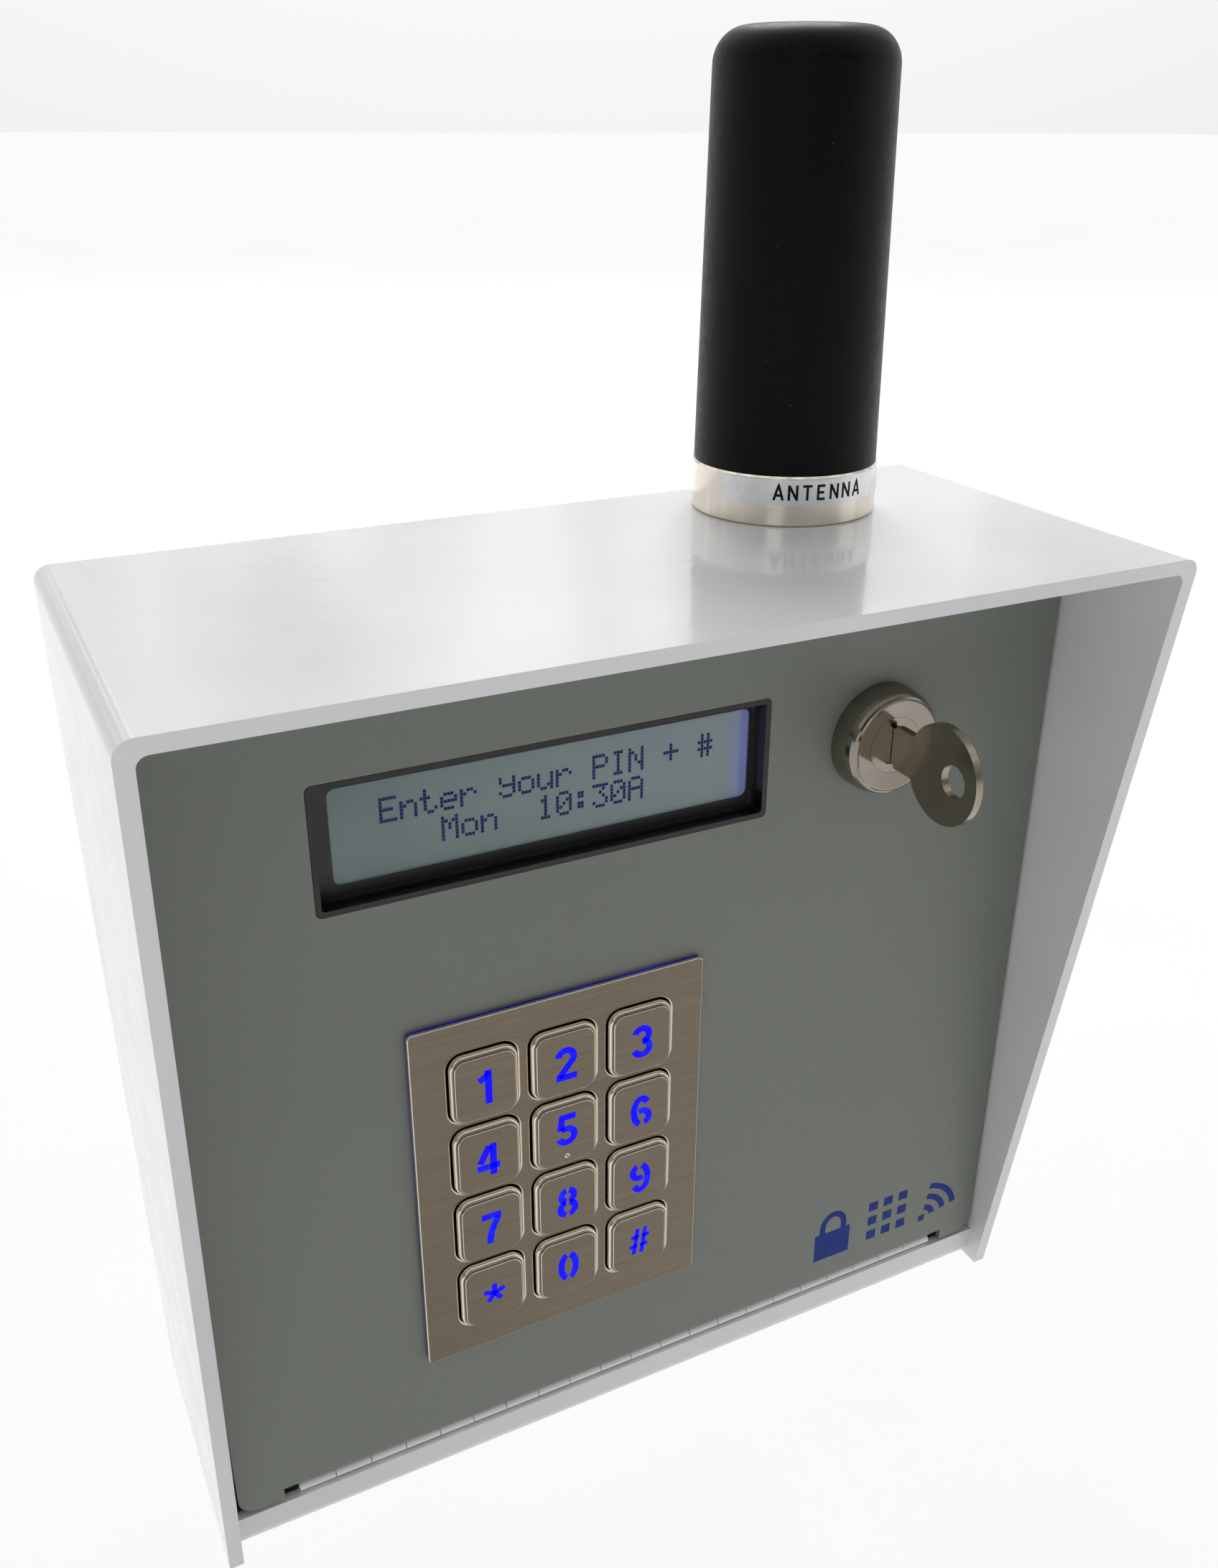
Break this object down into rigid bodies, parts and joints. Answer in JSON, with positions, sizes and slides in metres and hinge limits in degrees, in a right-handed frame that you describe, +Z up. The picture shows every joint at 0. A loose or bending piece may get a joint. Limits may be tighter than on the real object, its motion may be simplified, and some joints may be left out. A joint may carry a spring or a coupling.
{
  "type": "keypad access reader",
  "caption": "Hooded wall housing with a hinged grey door carrying a text display, a steel key pad and a cam lock, and a stub antenna on top.",
  "frame": {"origin": "centre of the wall-bolt pattern on the outer back face", "axes": "+X right, +Y out of the back face into the wall, +Z up; the door faces -Y"},
  "size_m": [0.1938, 0.0879, 0.2816],
  "materials": {
    "white_paint": "gloss powder coat",
    "door_paint": "satin powder coat",
    "hinge_steel": "painted over with the housing",
    "gasket_foam": "matte foam",
    "rubber_black": "matte",
    "window_plastic": "gloss black",
    "lens_clear": "clear polycarbonate",
    "lcd_metal": "black",
    "lcd_cell": "backlit display",
    "lcd_light": "light guide",
    "circuit_board": "solder mask",
    "chip_plastic": "moulded",
    "zinc_fasteners": "zinc plated",
    "brushed_stainless": "brushed along X",
    "keypad_glow": "blue lit translucent",
    "keypad_plastic": "moulded",
    "silicone": "translucent",
    "lock_nickel": "nickel plated",
    "key_nickel": "nickel plated, worn",
    "antenna_nickel": "satin nickel",
    "radome_plastic": "satin black",
    "label_paper": "white film",
    "module_shield": "tinned shield",
    "relay_plastic": "moulded",
    "terminal_plastic": "moulded",
    "capacitor_sleeve": "sleeved can"
  },
  "bodies": {
    "housing": {"hood_shell": "white_paint", "rear_pan": "white_paint", "door_stop_rails": "white_paint", "door_gasket": "gasket_foam", "strike_bracket": "white_paint", "cable_grommet": "rubber_black", "hinge_fixed_leaf": "hinge_steel", "hinge_pin": "hinge_steel", "antenna_base": "antenna_nickel", "antenna_gasket": "rubber_black", "antenna_radome": "radome_plastic", "antenna_element": "circuit_board", "antenna_washer": "zinc_fasteners", "antenna_nut": "zinc_fasteners", "antenna_label": "label_paper", "main_board": "circuit_board", "board_standoffs": "zinc_fasteners", "board_screws": "zinc_fasteners", "modem_module": "module_shield", "processor_chip": "chip_plastic", "gate_relays": "relay_plastic", "terminal_blocks": "terminal_plastic", "supply_capacitors": "capacitor_sleeve"},
    "door": {"door_panel": "door_paint", "hinge_door_leaf": "hinge_steel", "hinge_rivets": "hinge_steel", "window_frame": "window_plastic", "window_lens": "lens_clear", "lcd_bezel": "lcd_metal", "lcd_glass": "lcd_cell", "lcd_backlight": "lcd_light", "lcd_board": "circuit_board", "lcd_driver_chips": "chip_plastic", "lcd_standoffs": "zinc_fasteners", "lcd_screws": "zinc_fasteners", "keypad_faceplate": "brushed_stainless", "keypad_seal": "keypad_glow", "keypad_key_guide": "keypad_plastic", "keypad_dome_mat": "silicone", "keypad_board": "circuit_board", "keypad_nuts": "zinc_fasteners", "keypad_socket": "chip_plastic", "lock_body": "lock_nickel", "lock_nut": "lock_nickel"},
    "lock_turning": {"lock_plug": "lock_nickel", "lock_cam": "lock_nickel", "lock_cam_screw": "zinc_fasteners"},
    "door_key_body": {"door_key": "key_nickel"},
    "key_1_cap": {"key_1": "brushed_stainless"},
    "key_2_cap": {"key_2": "brushed_stainless"},
    "key_3_cap": {"key_3": "brushed_stainless"},
    "key_4_cap": {"key_4": "brushed_stainless"},
    "key_5_cap": {"key_5": "brushed_stainless"},
    "key_6_cap": {"key_6": "brushed_stainless"},
    "key_7_cap": {"key_7": "brushed_stainless"},
    "key_8_cap": {"key_8": "brushed_stainless"},
    "key_9_cap": {"key_9": "brushed_stainless"},
    "key_star_cap": {"key_star": "brushed_stainless"},
    "key_0_cap": {"key_0": "brushed_stainless"},
    "key_hash_cap": {"key_hash": "brushed_stainless"}
  },
  "joints": [
    {"name": "door_hinge", "type": "hinge", "parent": "housing", "child": "door", "pos_m": [0, -0.0559, -0.0863], "axis": [1, 0, 0], "range_deg": [0, 90]},
    {"name": "lock_turn", "type": "hinge", "parent": "door", "child": "lock_turning", "pos_m": [0.0499, -0.0572, 0.0584], "axis": [0, -1, 0], "range_deg": [0, 90]},
    {"name": "key_pull", "type": "slide", "parent": "lock_turning", "child": "door_key_body", "axis": [0, -1, 0], "range_m": [0, 0.022]},
    {"name": "key_1_press", "type": "slide", "parent": "door", "child": "key_1_cap", "axis": [0, 1, 0], "range_m": [0, 0.0006], "stiffness_N_per_m": 4000},
    {"name": "key_2_press", "type": "slide", "parent": "door", "child": "key_2_cap", "axis": [0, 1, 0], "range_m": [0, 0.0006], "stiffness_N_per_m": 4000},
    {"name": "key_3_press", "type": "slide", "parent": "door", "child": "key_3_cap", "axis": [0, 1, 0], "range_m": [0, 0.0006], "stiffness_N_per_m": 4000},
    {"name": "key_4_press", "type": "slide", "parent": "door", "child": "key_4_cap", "axis": [0, 1, 0], "range_m": [0, 0.0006], "stiffness_N_per_m": 4000},
    {"name": "key_5_press", "type": "slide", "parent": "door", "child": "key_5_cap", "axis": [0, 1, 0], "range_m": [0, 0.0006], "stiffness_N_per_m": 4000},
    {"name": "key_6_press", "type": "slide", "parent": "door", "child": "key_6_cap", "axis": [0, 1, 0], "range_m": [0, 0.0006], "stiffness_N_per_m": 4000},
    {"name": "key_7_press", "type": "slide", "parent": "door", "child": "key_7_cap", "axis": [0, 1, 0], "range_m": [0, 0.0006], "stiffness_N_per_m": 4000},
    {"name": "key_8_press", "type": "slide", "parent": "door", "child": "key_8_cap", "axis": [0, 1, 0], "range_m": [0, 0.0006], "stiffness_N_per_m": 4000},
    {"name": "key_9_press", "type": "slide", "parent": "door", "child": "key_9_cap", "axis": [0, 1, 0], "range_m": [0, 0.0006], "stiffness_N_per_m": 4000},
    {"name": "key_star_press", "type": "slide", "parent": "door", "child": "key_star_cap", "axis": [0, 1, 0], "range_m": [0, 0.0006], "stiffness_N_per_m": 4000},
    {"name": "key_0_press", "type": "slide", "parent": "door", "child": "key_0_cap", "axis": [0, 1, 0], "range_m": [0, 0.0006], "stiffness_N_per_m": 4000},
    {"name": "key_hash_press", "type": "slide", "parent": "door", "child": "key_hash_cap", "axis": [0, 1, 0], "range_m": [0, 0.0006], "stiffness_N_per_m": 4000}
  ]
}
